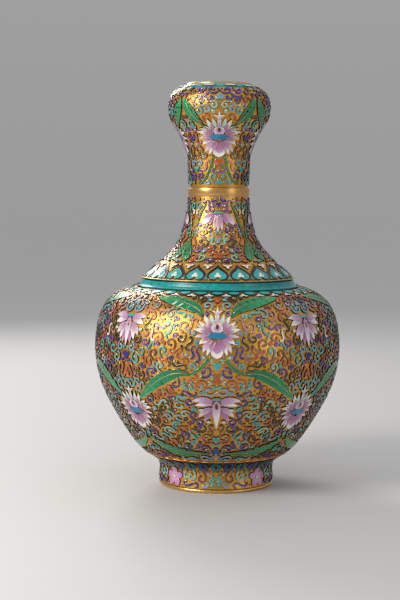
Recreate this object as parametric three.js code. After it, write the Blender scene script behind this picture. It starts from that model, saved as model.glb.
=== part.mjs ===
// A garlic-head cloisonne vase: copper shells, gilt rings and raised cells of enamel.
// Millimetres, +Z up. The origin is the centre of the foot's bottom face, and the front faces -Y.
import * as THREE from "three";

const wall = 1.6; // copper with enamel on both sides
const roundSteps = 40; // facets round the axis
const cellGap = 0.9; // clears the facets between a shell and the enamel cell on it
const cellDepth = 1.1; // thickness of an enamel cell
const quarter = Math.PI / 2;
const eighth = Math.PI / 4;

// Outside curves as [radius, height], each from its lower end to its upper end.
const footOutline = [
  [53.9, 3.95], [52.9, 11], [52.8, 18], [54.6, 23.6], [59.4, 27.8], [65.6, 31.1],
];
const bellyOutline = [
  [66.5, 31.4], [75.2, 40], [85.4, 54], [95, 69.5], [104.2, 87], [110.8, 104], [113.9, 122],
  [114.2, 134], [112.6, 148], [109.4, 161], [103.6, 172.2], [96, 179.2], [87, 184.1], [76.6, 187],
];
const collarOutline = [[75, 187.8], [73, 189.2], [72, 191.4], [71.4, 194.1]];
const lowerNeckOutline = [
  [70.5, 195.8], [60, 205.2], [50.2, 213.8], [41.6, 223.6], [35.5, 233.2], [31.8, 243.5],
  [29.5, 254], [28.3, 264], [27.9, 271.3],
];
const upperNeckOutline = [[27.3, 279.95], [27.9, 290], [28.3, 300], [28.5, 309]];
const headOutline = [
  [28.7, 309.5], [32, 320], [37, 331.3], [43.6, 341.4], [46.7, 350], [47, 356.5],
  [45.5, 362.8], [42.9, 367.2], [39.8, 370.4],
];
const mouthOutline = [[38.9, 371.3], [35, 373.4], [31.3, 374.9]];

// Rings as [radius, height] round the section.
const footRimSection = [[48.6, 0], [52.2, 0], [53.9, 1.2], [54.3, 2.5], [53.9, 3.65], [49.4, 3.65]];
const neckRingSection = [
  [26, 271.65], [28, 271.65], [28.8, 272.7], [28.8, 278.6], [28, 279.6], [26, 279.6],
];
const lip = { radius: 29.1, height: 374.9, thickness: 1.7 };
const upperWire = { radius: 72.3, height: 195.9, thickness: 0.7 };
const lowerWire = { radius: 76.4, height: 188.7, thickness: 0.7 };
const basePlate = { radius: 52.6, low: 24.3, high: 25.8 };

const finish = (color, roughness, metalness) =>
  new THREE.MeshStandardMaterial({ color, roughness, metalness });
const gilt = finish(0xc08a3c, 0.35, 1);
const giltGround = finish(0xa8742e, 0.45, 1);
const turquoise = finish(0x1d9c98, 0.3, 0);
const copper = finish(0x9a5c3c, 0.5, 1);
const lilac = finish(0xc6a9bc, 0.3, 0);
const blossomPink = finish(0xc08aa0, 0.3, 0);
const leafGreen = finish(0x1f8f5c, 0.3, 0);

const vase = new THREE.Group();

function add(name, geometry, material) {
  const mesh = new THREE.Mesh(geometry, material);
  mesh.name = name;
  vase.add(mesh);
}

const curveThrough = (points) =>
  new THREE.SplineCurve(points.map(([radius, height]) => new THREE.Vector2(radius, height)));

// Outward normal of a curve that climbs the vase.
function normalAt(curve, along) {
  const tangent = curve.getTangentAt(along);
  return new THREE.Vector2(tangent.y, -tangent.x);
}

// A closed section turned round the Z axis. The section runs anticlockwise seen with +Z up.
function turned(section) {
  const closed = [...section, section[0]].map(([radius, height]) => new THREE.Vector2(radius, height));
  return new THREE.LatheGeometry(closed, roundSteps).rotateX(quarter);
}

// A shell of even wall between two places on a curve, open at both ends.
function addShell(name, curve, from, to, steps, material) {
  const outside = [];
  const inside = [];
  for (let step = 0; step <= steps; step += 1) {
    const along = from + ((to - from) * step) / steps;
    const point = curve.getPointAt(along);
    const normal = normalAt(curve, along);
    outside.push([point.x, point.y]);
    inside.unshift([point.x - normal.x * wall, point.y - normal.y * wall]);
  }
  add(name, turned([...outside, ...inside]), material);
}

// A round wire or bead.
function addBead(name, { radius, height, thickness }, sides, material) {
  const section = [];
  for (let side = 0; side < sides; side += 1) {
    const turn = (2 * Math.PI * side) / sides;
    section.push([radius + thickness * Math.cos(turn), height + thickness * Math.sin(turn)]);
  }
  add(name, turned(section), material);
}

// Closed loops of points joined in order, with a pole at each end.
function loopSolid(loops, startPole, endPole) {
  const count = loops[0].length;
  const points = [startPole, ...loops.flat(), endPole];
  const last = points.length - 1;
  const faces = [];
  for (let side = 0; side < count; side += 1) {
    const next = (side + 1) % count;
    faces.push(0, 1 + side, 1 + next);
    for (let ring = 0; ring < loops.length - 1; ring += 1) {
      const low = 1 + ring * count;
      const high = low + count;
      faces.push(low + side, high + next, low + next, low + side, high + side, high + next);
    }
    const top = 1 + (loops.length - 1) * count;
    faces.push(top + side, last, top + next);
  }
  const geometry = new THREE.BufferGeometry().setFromPoints(points);
  geometry.setIndex(faces);
  return geometry;
}

// A point on a shell: across and climb are millimetres from the cell's centre, lift is off the wall.
function onWall(place, across, climb, lift) {
  const along = place.along + climb / place.curve.getLength();
  const point = place.curve.getPointAt(along);
  const normal = normalAt(place.curve, along);
  const radius = point.x + normal.x * lift;
  const turn = place.turn + across / point.x;
  return new THREE.Vector3(
    radius * Math.sin(turn),
    -radius * Math.cos(turn),
    point.y + normal.y * lift,
  );
}

// A flower cell: an ellipse whose edge waves once for each petal.
function addFlower(name, place, flower, material) {
  const sides = flower.petals * 2;
  const ring = (share, lift) =>
    Array.from({ length: sides }, (_, side) => {
      const turn = (2 * Math.PI * side) / sides;
      const reach = share * (side % 2 ? 1 - flower.notch : 1);
      const across = reach * flower.halfWidth * Math.sin(turn);
      const climb = reach * flower.halfHeight * Math.cos(turn);
      return onWall(place, across, climb, lift);
    });
  const top = cellGap + cellDepth;
  const loops = [ring(0.5, cellGap), ring(1, cellGap), ring(1, top), ring(0.5, top)];
  add(name, loopSolid(loops, onWall(place, 0, 0, cellGap), onWall(place, 0, 0, top)), material);
}

// A leaf cell along a bowed spine, blunt at the stalk and narrow at the tip.
function addLeaf(name, place, leaf, mirror, material) {
  const top = cellGap + cellDepth;
  const spine = (share) => [
    mirror * (leaf.start[0] + (leaf.end[0] - leaf.start[0]) * share),
    leaf.start[1] + (leaf.end[1] - leaf.start[1]) * share + leaf.bow * Math.sin(Math.PI * share),
  ];
  const loops = [];
  for (let step = 0; step <= leaf.steps; step += 1) {
    const share = step / leaf.steps;
    const [across, climb] = spine(share);
    const half = leaf.halfWidth * (0.12 + 0.88 * Math.sin(Math.PI * share ** 0.8));
    const low = onWall(place, across, climb - half, cellGap);
    const middle = onWall(place, across, climb, cellGap);
    const high = onWall(place, across, climb + half, cellGap);
    const highTop = onWall(place, across, climb + half, top);
    const middleTop = onWall(place, across, climb, top);
    const lowTop = onWall(place, across, climb - half, top);
    const loop = [low, middle, high, highTop, middleTop, lowTop];
    loops.push(mirror < 0 ? loop.reverse() : loop);
  }
  const middleOf = (loop) =>
    loop.reduce((sum, point) => sum.add(point), new THREE.Vector3()).divideScalar(loop.length);
  add(name, loopSolid(loops, middleOf(loops[0]), middleOf(loops[leaf.steps])), material);
}

const foot = curveThrough(footOutline);
const belly = curveThrough(bellyOutline);
const lowerNeck = curveThrough(lowerNeckOutline);
const head = curveThrough(headOutline);
const bellySeam = 0.55; // share of the belly's curve below the widest line
const seamGap = 0.3 / belly.getLength();

add("foot_rim", turned(footRimSection), gilt);
addShell("foot_shell", foot, 0, 1, 5, giltGround);
add(
  "base_plate",
  new THREE.CylinderGeometry(
    basePlate.radius, basePlate.radius, basePlate.high - basePlate.low, roundSteps,
  ).rotateX(quarter).translate(0, 0, (basePlate.low + basePlate.high) / 2),
  copper,
);
addShell("belly_lower_shell", belly, 0, bellySeam - seamGap / 2, 8, giltGround);
addShell("belly_upper_shell", belly, bellySeam + seamGap / 2, 1, 9, giltGround);
addBead("collar_bottom_wire", lowerWire, 6, gilt);
addShell("shoulder_collar", curveThrough(collarOutline), 0, 1, 2, turquoise);
addBead("collar_top_wire", upperWire, 6, gilt);
addShell("lower_neck_shell", lowerNeck, 0, 1, 8, giltGround);
add("neck_ring", turned(neckRingSection), gilt);
addShell("upper_neck_shell", curveThrough(upperNeckOutline), 0, 1, 2, giltGround);
addShell("head_shell", head, 0, 1, 9, giltGround);
addShell("mouth_band", curveThrough(mouthOutline), 0, 1, 2, turquoise);
addBead("mouth_rim", lip, 8, gilt);

// Enamel cells: along is the share of the wall's curve at the cell's centre.
const cellRows = [
  { name: "head_lotus", curve: head, along: 0.374, turn: 0, petals: 8, notch: 0.14,
    halfWidth: 20, halfHeight: 22, material: lilac },
  { name: "neck_blossom", curve: lowerNeck, along: 0.7235, turn: 0, petals: 6, notch: 0.16,
    halfWidth: 14, halfHeight: 11, material: lilac },
  { name: "upper_lotus", curve: belly, along: 0.7305, turn: 0, petals: 8, notch: 0.14,
    halfWidth: 21, halfHeight: 25, material: lilac },
  { name: "upper_blossom", curve: belly, along: 0.7365, turn: eighth, petals: 6, notch: 0.16,
    halfWidth: 18, halfHeight: 14, material: blossomPink },
  { name: "lower_blossom", curve: belly, along: 0.3255, turn: 0, petals: 6, notch: 0.16,
    halfWidth: 20, halfHeight: 16, material: blossomPink },
  { name: "lower_lotus", curve: belly, along: 0.3335, turn: eighth, petals: 8, notch: 0.14,
    halfWidth: 21, halfHeight: 25, material: lilac },
  { name: "foot_plum", curve: foot, along: 0.22, turn: eighth, petals: 5, notch: 0.22,
    halfWidth: 8.5, halfHeight: 7.5, material: blossomPink },
];
for (const row of cellRows) {
  for (let copy = 0; copy < 4; copy += 1) {
    const place = { curve: row.curve, along: row.along, turn: row.turn + copy * quarter };
    addFlower(`${row.name}_${copy + 1}`, place, row, row.material);
  }
}

// Acanthus leaves in mirrored pairs: start is the leaf's tip, end its stalk, both from the pair's middle.
const leafRows = [
  { name: "upper_leaf", along: 0.7285, start: [52, 34], end: [18, 19], bow: 4, halfWidth: 6, steps: 6 },
  { name: "lower_leaf", along: 0.098, start: [62, 9], end: [15, -4], bow: -4, halfWidth: 4.5, steps: 6 },
];
for (const row of leafRows) {
  for (let copy = 0; copy < 8; copy += 1) {
    const side = copy % 2 ? -1 : 1;
    const place = { curve: belly, along: row.along, turn: Math.floor(copy / 2) * quarter };
    addLeaf(`${row.name}_${copy + 1}`, place, row, side, leafGreen);
  }
}

export default vase;
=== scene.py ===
import math

import bpy
import numpy as np
from mathutils import Matrix, Vector


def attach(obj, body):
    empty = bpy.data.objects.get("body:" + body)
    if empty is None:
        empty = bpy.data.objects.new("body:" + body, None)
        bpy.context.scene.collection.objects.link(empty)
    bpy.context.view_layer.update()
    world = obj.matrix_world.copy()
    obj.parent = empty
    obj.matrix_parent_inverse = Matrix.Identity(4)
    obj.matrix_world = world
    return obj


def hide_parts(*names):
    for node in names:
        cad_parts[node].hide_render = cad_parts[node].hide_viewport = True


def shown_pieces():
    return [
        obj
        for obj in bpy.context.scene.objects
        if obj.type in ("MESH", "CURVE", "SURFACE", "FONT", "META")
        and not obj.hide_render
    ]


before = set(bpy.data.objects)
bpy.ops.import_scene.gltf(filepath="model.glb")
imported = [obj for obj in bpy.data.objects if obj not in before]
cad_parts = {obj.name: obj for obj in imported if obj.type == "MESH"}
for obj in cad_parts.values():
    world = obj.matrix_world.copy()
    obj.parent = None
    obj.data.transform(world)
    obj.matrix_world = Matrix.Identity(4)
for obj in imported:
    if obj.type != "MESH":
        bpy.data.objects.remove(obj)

# Garlic-head vase in raised cloisonne. Lengths below are in mm and angles in radians unless a name says
# degrees; turn is the angle round the vase from its front (-Y) towards +X, and climb is the distance up
# the wall along its outline.

mm = 0.001
fullTurn = 2 * math.pi
quarterTurn = math.pi / 2
eighthTurn = math.pi / 4
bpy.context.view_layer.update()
print("frame loaded:", len(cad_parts), "nodes")


# ---- camera and studio ----

cameraPlan = {
    "distance": 1250.0,
    "height": 270.0,
    "aimHeight": 173.7,
    "aimSide": -16.6,
    "frameTall": 567.6,  # height of the view at the vase's axis
    "rollDegrees": 0.5,
    "sensor": 36.0,
    "farMetres": 50,
}

studioPlan = {
    "skylineColour": (0.33, 0.33, 0.335),  # near the floor's own brightness far away, so no edge shows
    "zenithColour": (0.55, 0.56, 0.58),
    "floorColour": (0.60, 0.59, 0.58),
    "skyRise": 0.8,  # how far up the sky's colour changes
    "floorSize": 60000.0,
    "floorRoughness": 0.6,
}

# place, aim point, size, power in watts and colour of each soft box
softBoxes = {
    "keyBox": ((-1050, -800, 900), (0, 0, 190), 760, 17, (1.0, 0.97, 0.92)),
    "fillBox": ((1500, -1300, 500), (0, 0, 180), 900, 2.5, (0.92, 0.95, 1.0)),
    "rimBox": ((-500, 1100, 900), (0, 0, 220), 600, 8, (1.0, 0.98, 0.95)),
}


def aimAt(place, target):
    # rotation that points an object's -Z from place to target, with its Y as far up as it goes
    return (Vector(target) - Vector(place)).to_track_quat("-Z", "Y")


def makeCamera(plan):
    data = bpy.data.cameras.new("camera")
    camera = bpy.data.objects.new("camera", data)
    bpy.context.scene.collection.objects.link(camera)
    place = Vector((0, -plan["distance"], plan["height"])) * mm
    target = Vector((plan["aimSide"], 0, plan["aimHeight"])) * mm
    camera.rotation_mode = "QUATERNION"
    roll = Matrix.Rotation(math.radians(plan["rollDegrees"]), 3, "Z").to_quaternion()
    camera.rotation_quaternion = aimAt(place, target) @ roll
    camera.location = place
    data.sensor_width = plan["sensor"]
    data.lens = plan["sensor"] * (target - place).length / (plan["frameTall"] * mm)
    data.clip_end = plan["farMetres"]
    bpy.context.scene.camera = camera


def makeStudio():
    world = bpy.data.worlds.new("studio")
    bpy.context.scene.world = world
    world.use_nodes = True
    tree = world.node_tree
    where, split = tree.nodes.new("ShaderNodeTexCoord"), tree.nodes.new("ShaderNodeSeparateXYZ")
    climb, blend = tree.nodes.new("ShaderNodeMapRange"), tree.nodes.new("ShaderNodeMix")
    climb.interpolation_type = "SMOOTHSTEP"
    climb.inputs["From Min"].default_value = 0.0
    climb.inputs["From Max"].default_value = studioPlan["skyRise"]
    blend.data_type = "RGBA"
    blend.inputs[6].default_value = (*studioPlan["skylineColour"], 1)
    blend.inputs[7].default_value = (*studioPlan["zenithColour"], 1)
    tree.links.new(where.outputs["Generated"], split.inputs["Vector"])
    tree.links.new(split.outputs["Z"], climb.inputs["Value"])
    tree.links.new(climb.outputs["Result"], blend.inputs[0])
    tree.links.new(blend.outputs[2], tree.nodes["Background"].inputs["Color"])
    for name, (place, target, size, power, colour) in softBoxes.items():
        data = bpy.data.lights.new(name, "AREA")
        data.shape = "DISK"
        data.size = size * mm
        data.energy = power
        data.color = colour
        box = bpy.data.objects.new(name, data)
        box.location = Vector(place) * mm
        box.rotation_mode = "QUATERNION"
        box.rotation_quaternion = aimAt(Vector(place), Vector(target))
        bpy.context.scene.collection.objects.link(box)


makeCamera(cameraPlan)
makeStudio()
bpy.context.scene.view_settings.view_transform = "Standard"
print("camera and lights made")


# ---- materials ----

def nodeTools(tree):
    # add makes a node with its values and join feeds a socket from another one or with a value; the others
    # give the result of a sum, of a change of range from low..high, and of a mix of two colours
    def add(kind, **values):
        node = tree.nodes.new(kind)
        for key, value in values.items():
            if key in node.inputs:
                node.inputs[key].default_value = value
            else:
                setattr(node, key, value)
        return node

    def join(source, target):
        if isinstance(source, bpy.types.NodeSocket):
            tree.links.new(source, target)
        else:
            target.default_value = source

    def reckon(operation, *terms, clamped=False):
        node = add("ShaderNodeMath", operation=operation, use_clamp=clamped)
        for term, socket in zip(terms, node.inputs):
            join(term, socket)
        return node.outputs[0]

    def spread(source, low, high, newLow=0.0, newHigh=1.0):
        ends = {"From Min": low, "From Max": high, "To Min": newLow, "To Max": newHigh}
        node = add("ShaderNodeMapRange", **ends)
        join(source, node.inputs["Value"])
        return node.outputs["Result"]

    def blend(share, first, second):
        node = add("ShaderNodeMix", data_type="RGBA")
        for term, place in ((share, 0), (first, 6), (second, 7)):
            join(term, node.inputs[place])
        return node.outputs[2]

    return add, join, reckon, spread, blend


def rampOf(add, stops):
    # a colour ramp with these (place, colour) stops
    ramp = add("ShaderNodeValToRGB")
    while len(ramp.color_ramp.elements) < len(stops):
        ramp.color_ramp.elements.new(0.5)
    for element, (place, colour) in zip(ramp.color_ramp.elements, stops):
        element.position = place
        element.color = (*colour, 1)
    return ramp


def startGroup(name, inputs, *scales):
    # a shader group that gives a colour, a roughness and a normal, with noises of (scale, detail, roughness)
    group = bpy.data.node_groups.new(name, "ShaderNodeTree")
    for key, value in inputs.items():
        kind = "NodeSocketFloat" if isinstance(value, float) else "NodeSocketColor"
        group.interface.new_socket(key, in_out="INPUT", socket_type=kind).default_value = value
    for key, kind in (("Colour", "Color"), ("Roughness", "Float"), ("Normal", "Vector")):
        group.interface.new_socket(key, in_out="OUTPUT", socket_type="NodeSocket" + kind)
    tools = nodeTools(group)
    add, join = tools[:2]
    given, put, where = add("NodeGroupInput"), add("NodeGroupOutput"), add("ShaderNodeTexCoord")
    noises = []
    for scale, detail, roughness in scales:
        noise = add("ShaderNodeTexNoise", Scale=scale, Detail=detail, Roughness=roughness)
        join(where.outputs["Object"], noise.inputs["Vector"])
        noises.append(noise.outputs["Fac"])
    return group, tools, given.outputs, put.inputs, where.outputs["Object"], noises


def enamelGroup():
    # fired glass: patches a little lighter and darker, fine pits, and a matching change of gloss
    group, (add, join, reckon, spread, blend), given, put, where, (clouds, grains) = startGroup(
        "firedGlass", {"Tint": (1, 1, 1, 1), "Patch": 0.2, "Pits": 0.3, "Gloss": 0.2},
        (160.0, 4.0, 0.6), (900.0, 3.0, 0.7))
    pits = add("ShaderNodeTexVoronoi", Scale=1100.0)
    join(where, pits.inputs["Vector"])
    patches = spread(reckon("ADD", clouds, grains), 0.7, 1.3, -1.0, 1.0)
    shade = add("ShaderNodeVectorMath", operation="SCALE")
    join(given["Tint"], shade.inputs[0])
    join(reckon("MULTIPLY_ADD", patches, given["Patch"], 1.0), shade.inputs["Scale"])
    bump = add("ShaderNodeBump", Distance=0.0001)
    join(given["Pits"], bump.inputs["Strength"])
    join(spread(pits.outputs["Distance"], 0.0, 0.22), bump.inputs["Height"])
    join(shade.outputs[0], put["Colour"])
    join(reckon("MULTIPLY_ADD", grains, 0.14, given["Gloss"]), put["Roughness"])
    join(bump.outputs["Normal"], put["Normal"])
    return group


def giltGroup():
    # gilding: warm patches, brown tarnish in the hollows of the noise, and fine sanding marks
    group, (add, join, reckon, spread, blend), given, put, where, (clouds, specks) = startGroup(
        "agedGilding",
        {"Bright": (1, 1, 1, 1), "Tarnish": (0, 0, 0, 1), "Wear": 0.5, "Polish": 0.3, "Marks": 0.3},
        (45.0, 6.0, 0.65), (420.0, 5.0, 0.7))
    dark = spread(reckon("ADD", clouds, specks), 0.8, 1.35)
    share = reckon("MULTIPLY", dark, given["Wear"], clamped=True)
    bump = add("ShaderNodeBump", Distance=0.00012)
    join(given["Marks"], bump.inputs["Strength"])
    join(specks, bump.inputs["Height"])
    join(blend(share, given["Bright"], given["Tarnish"]), put["Colour"])
    join(reckon("MULTIPLY_ADD", share, 0.25, given["Polish"]), put["Roughness"])
    join(bump.outputs["Normal"], put["Normal"])
    return group


firedGlass = enamelGroup()
agedGilding = giltGroup()
glassPlan = {
    "pits": 0.25,
    "coat": 0.1,
    "coatRoughness": 0.1,
    "streakRate": 28.0,  # radians of streak wave across one cell
}


def startMaterial(name, group, **values):
    # a material whose colour, roughness and normal come from a group with these values
    material = bpy.data.materials.new(name)
    material.use_nodes = True
    shader = material.node_tree.nodes["Principled BSDF"]
    tools = nodeTools(material.node_tree)
    add, join = tools[:2]
    finish = add("ShaderNodeGroup", node_tree=group)
    for key, value in values.items():
        finish.inputs[key].default_value = (*value, 1) if isinstance(value, tuple) else value
    for source, target in (("Colour", "Base Color"), ("Roughness", "Roughness"), ("Normal", "Normal")):
        join(finish.outputs[source], shader.inputs[target])
    return material, shader, finish, tools


def gilding(name, bright, tarnish, wear, polish, marks):
    material, shader, _, _ = startMaterial(name, agedGilding, Bright=bright, Tarnish=tarnish, Wear=wear,
                                           Polish=polish, Marks=marks)
    shader.inputs["Metallic"].default_value = 1.0
    return material


def enamel(name, tint, patch=0.22, gloss=0.16, stops=None, streaks=0.0):
    # one colour, or stops along the cell's own length (map u) with streaks of the tint across it (map v)
    material, shader, finish, tools = startMaterial(name, firedGlass, Tint=tint, Patch=patch,
                                                    Pits=glassPlan["pits"], Gloss=gloss)
    shader.inputs["Coat Weight"].default_value = glassPlan["coat"]
    shader.inputs["Coat Roughness"].default_value = glassPlan["coatRoughness"]
    if stops:
        add, join, reckon, spread, blend = tools
        mapped, split = add("ShaderNodeUVMap", uv_map="UVMap"), add("ShaderNodeSeparateXYZ")
        ramp = rampOf(add, stops)
        join(mapped.outputs["UV"], split.inputs["Vector"])
        join(split.outputs["X"], ramp.inputs["Fac"])
        waves = reckon("SINE", reckon("MULTIPLY", split.outputs["Y"], glassPlan["streakRate"]))
        share = reckon("MULTIPLY", waves, streaks, clamped=True)
        join(blend(share, ramp.outputs["Color"], (*tint, 1)), finish.inputs["Tint"])
    return material


# name: bright colour, tarnish, wear, polish (roughness), marks
gilt = {
    "ground": gilding("giltGround", (0.82, 0.42, 0.075), (0.42, 0.15, 0.025), 0.7, 0.30, 0.45),
    "wire": gilding("giltWire", (0.86, 0.60, 0.28), (0.25, 0.11, 0.03), 0.45, 0.26, 0.15),
    "ring": gilding("giltRing", (0.86, 0.50, 0.17), (0.42, 0.18, 0.05), 0.55, 0.24, 0.2),
    # shade: the cells' side walls, painted very dark as the shadow line round every raised cell
    "shade": gilding("paintedShadowWall", (0.035, 0.025, 0.018), (0.01, 0.008, 0.006), 0.6, 0.45, 0.2),
    "copper": gilding("bareCopper", (0.50, 0.24, 0.12), (0.10, 0.05, 0.03), 0.8, 0.45, 0.5),
}

# plain enamels: colour and how much lighter and darker its patches are
plainEnamels = {
    "turquoise": ((0.02, 0.36, 0.36), 0.3),
    "lining": ((0.03, 0.30, 0.42), 0.3),
    "skyBlue": ((0.15, 0.33, 0.44), 0.3),
    "mint": ((0.20, 0.47, 0.40), 0.3),
    "cobalt": ((0.026, 0.013, 0.22), 0.35),
    "purple": ((0.14, 0.045, 0.33), 0.3),
    "coral": ((0.44, 0.07, 0.022), 0.35),
    "amber": ((0.17, 0.05, 0.02), 0.35),
    "rose": ((0.50, 0.20, 0.18), 0.3),
    "cream": ((0.78, 0.72, 0.60), 0.15),
    # a very dark enamel painted as shadow: outlines round raised border cells, and strokes for the dark
    # shading among the scrolls
    "black": ((0.008, 0.010, 0.012), 0.3),
    # turquoise darkened as painted shade, for the foot lappets that face down into shadow
    "deepTeal": ((0.004, 0.15, 0.17), 0.35),
    "deepBlue": ((0.010, 0.06, 0.22), 0.35),
    "maroon": ((0.12, 0.015, 0.03), 0.3),
    "centreBlue": ((0.012, 0.20, 0.36), 0.35),
    "stem": ((0.001, 0.19, 0.07), 0.3),
}

# shaded enamels: colour of the streaks, patches, (place, colour) stops from base to tip, streak strength
shadedEnamels = {
    "leaf": ((0.001, 0.24, 0.092), 0.3,
             ((0.0, (0.001, 0.14, 0.05)), (0.5, (0.001, 0.22, 0.084)), (1.0, (0.006, 0.34, 0.14))), 0.3),
    "petal": ((0.55, 0.33, 0.50), 0.12,
              ((0.0, (0.36, 0.15, 0.31)), (0.5, (0.52, 0.32, 0.47)), (0.9, (0.77, 0.70, 0.73))), 0.35),
    "petalPink": ((0.42, 0.16, 0.34), 0.12,
                  ((0.0, (0.30, 0.09, 0.24)), (0.6, (0.42, 0.19, 0.36)), (1.0, (0.58, 0.38, 0.52))), 0.35),
    "petalWhite": ((0.80, 0.70, 0.74), 0.1,
                   ((0.0, (0.40, 0.20, 0.36)), (0.35, (0.58, 0.42, 0.54)), (0.65, (0.78, 0.73, 0.74)),
                    (1.0, (0.82, 0.80, 0.77))), 0.25),
    "petalGreen": ((0.40, 0.60, 0.46), 0.1, ((0.0, (0.30, 0.50, 0.40)), (1.0, (0.66, 0.80, 0.62))), 0.2),
    "plum": ((0.50, 0.22, 0.46), 0.12,
             ((0.0, (0.72, 0.50, 0.66)), (0.5, (0.56, 0.26, 0.52)), (1.0, (0.52, 0.24, 0.50))), 0.3),
}

glass = {name: enamel(name + "Enamel", tint, patch) for name, (tint, patch) in plainEnamels.items()}
glass["collar"] = enamel("collarEnamel", (0.004, 0.29, 0.29), 0.45, gloss=0.2)
for name, (tint, patch, stops, streaks) in shadedEnamels.items():
    glass[name] = enamel(name + "Enamel", tint, patch, stops=stops, streaks=streaks)
print("materials made:", len(gilt) + len(glass))


# ---- the walls, read from the frame ----

wallThickness = 1.6
sameRing = 1.9  # rings of points closer than this are one ring where two shells meet


def frontSection(name):
    # points of a turned node on its front meridian, x = 0 and y < 0, as radius and height
    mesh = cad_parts[name].data
    co = np.empty(len(mesh.vertices) * 3, np.float32)
    mesh.vertices.foreach_get("co", co)
    co = co.reshape(-1, 3).astype(float) / mm
    front = co[(np.abs(co[:, 0]) < 0.01) & (co[:, 1] < 0)]
    return np.unique(np.round(np.c_[-front[:, 1], front[:, 2]], 3), axis=0)


def outerLine(*names):
    # a shell's two faces lie one wall apart, and the outer one has the larger radius
    kept = []
    for name in names:
        points = frontSection(name)
        apart = np.hypot(*(points[:, None] - points[None]).transpose(2, 0, 1))
        paired = np.abs(apart - wallThickness) < 0.05
        wider = points[:, None, 0] > points[None, :, 0]
        kept.append(points[(paired & wider).any(axis=1)])
    line = np.concatenate(kept)
    line = line[np.argsort(line[:, 1])]
    step = np.hypot(*np.diff(line, axis=0).T)
    return line[np.r_[True, step > sameRing]]


def smoothLine(points, perSpan):
    # Catmull-Rom through a, b, c, d: half of 2b + (c - a)t + (2a - 5b + 4c - d)t^2 + (3b - 3c + d - a)t^3
    points = np.asarray(points, float)
    ends = np.vstack([2 * points[0] - points[1], points, 2 * points[-1] - points[-2]])
    a, b, c, d = (ends[i:len(ends) - 3 + i, None] for i in range(4))
    t = (np.arange(perSpan) / perSpan)[None, :, None]
    line = (2 * b + (c - a) * t + (2 * a - 5 * b + 4 * c - d) * t**2 + (3 * b - 3 * c + d - a) * t**3) / 2
    return np.vstack([line.reshape(-1, points.shape[1]), points[-1]])


def makeZone(line):
    # climb is the running length of the outline, and its outward normal is (dz, -dr)
    line = smoothLine(line, 12)
    climb = np.r_[0, np.cumsum(np.hypot(*np.diff(line, axis=0).T))]
    slope = np.gradient(line, climb, axis=0)
    slope /= np.hypot(*slope.T)[:, None]
    return {"climb": climb, "radius": line[:, 0], "height": line[:, 1], "outRadius": slope[:, 1],
            "outHeight": -slope[:, 0], "length": climb[-1], "line": line}


def radiusAt(zone, climb):
    return np.interp(climb, zone["climb"], zone["radius"])


def climbAt(zone, height):
    return np.interp(height, zone["height"], zone["climb"])


def onWall(zone, turn, climb, lift):
    # ((r + lift nr) sin turn, -(r + lift nr) cos turn, z + lift nz)
    reach = radiusAt(zone, climb) + lift * np.interp(climb, zone["climb"], zone["outRadius"])
    height = np.interp(climb, zone["climb"], zone["height"])
    height = height + lift * np.interp(climb, zone["climb"], zone["outHeight"])
    return np.stack(np.broadcast_arrays(reach * np.sin(turn), -reach * np.cos(turn), height), axis=-1)


zones = {
    "foot": makeZone(outerLine("foot_shell")),
    "belly": makeZone(outerLine("belly_lower_shell", "belly_upper_shell")),
    "neck": makeZone(outerLine("lower_neck_shell")),
    "head": makeZone(outerLine("upper_neck_shell", "head_shell")),
    "mouth": makeZone(outerLine("mouth_band")),
}
for zoneName, zone in zones.items():
    print("zone %s is %.1f long" % (zoneName, zone["length"]))


# ---- meshes ----

def makePiece(name, parts, materials, slot, replaced=(), sharpDegrees=None):
    # parts are (points in mm, face arrays, finish numbers per face array, map coordinates per point)
    points, maps, faceRows, finishRows, start = [], [], [], [], 0
    for partPoints, partFaces, partFinishes, partMap in parts:
        points.append(partPoints)
        maps.append(partMap)
        for rows, finish in zip(partFaces, partFinishes):
            faceRows.append(rows + start)
            finishRows.append(np.broadcast_to(finish, len(rows)))
        start += len(partPoints)
    points, maps = np.concatenate(points), np.concatenate(maps)
    corners = np.concatenate([rows.ravel() for rows in faceRows]).astype(np.int32)
    sides = np.concatenate([np.full(len(rows), rows.shape[1]) for rows in faceRows])
    mesh = bpy.data.meshes.new(name)
    mesh.vertices.add(len(points))
    mesh.vertices.foreach_set("co", (points * mm).astype(np.float32).ravel())
    mesh.loops.add(len(corners))
    mesh.loops.foreach_set("vertex_index", corners)
    mesh.polygons.add(len(sides))
    mesh.polygons.foreach_set("loop_start", np.r_[0, np.cumsum(sides)[:-1]].astype(np.int32))
    mesh.polygons.foreach_set("material_index", np.concatenate(finishRows).astype(np.int32))
    layer = mesh.uv_layers.new(name="UVMap")
    layer.data.foreach_set("uv", maps[corners].astype(np.float32).ravel())
    mesh.update(calc_edges=True)
    mesh.validate()
    mesh.shade_smooth()
    if sharpDegrees:
        mesh.set_sharp_from_angle(angle=math.radians(sharpDegrees))
    for material in materials:
        mesh.materials.append(material)
    piece = bpy.data.objects.new(name, mesh)
    bpy.context.scene.collection.objects.link(piece)
    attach(piece, "root")
    if replaced:
        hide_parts(*replaced)
    return piece


def ringFaces(low, high):
    # four-cornered faces between two runs of rings of point numbers, each ring closed on itself
    nextLow, nextHigh = np.roll(low, -1, axis=-1), np.roll(high, -1, axis=-1)
    return np.stack([low, high, nextHigh, nextLow], axis=-1).reshape(-1, 4)


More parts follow.
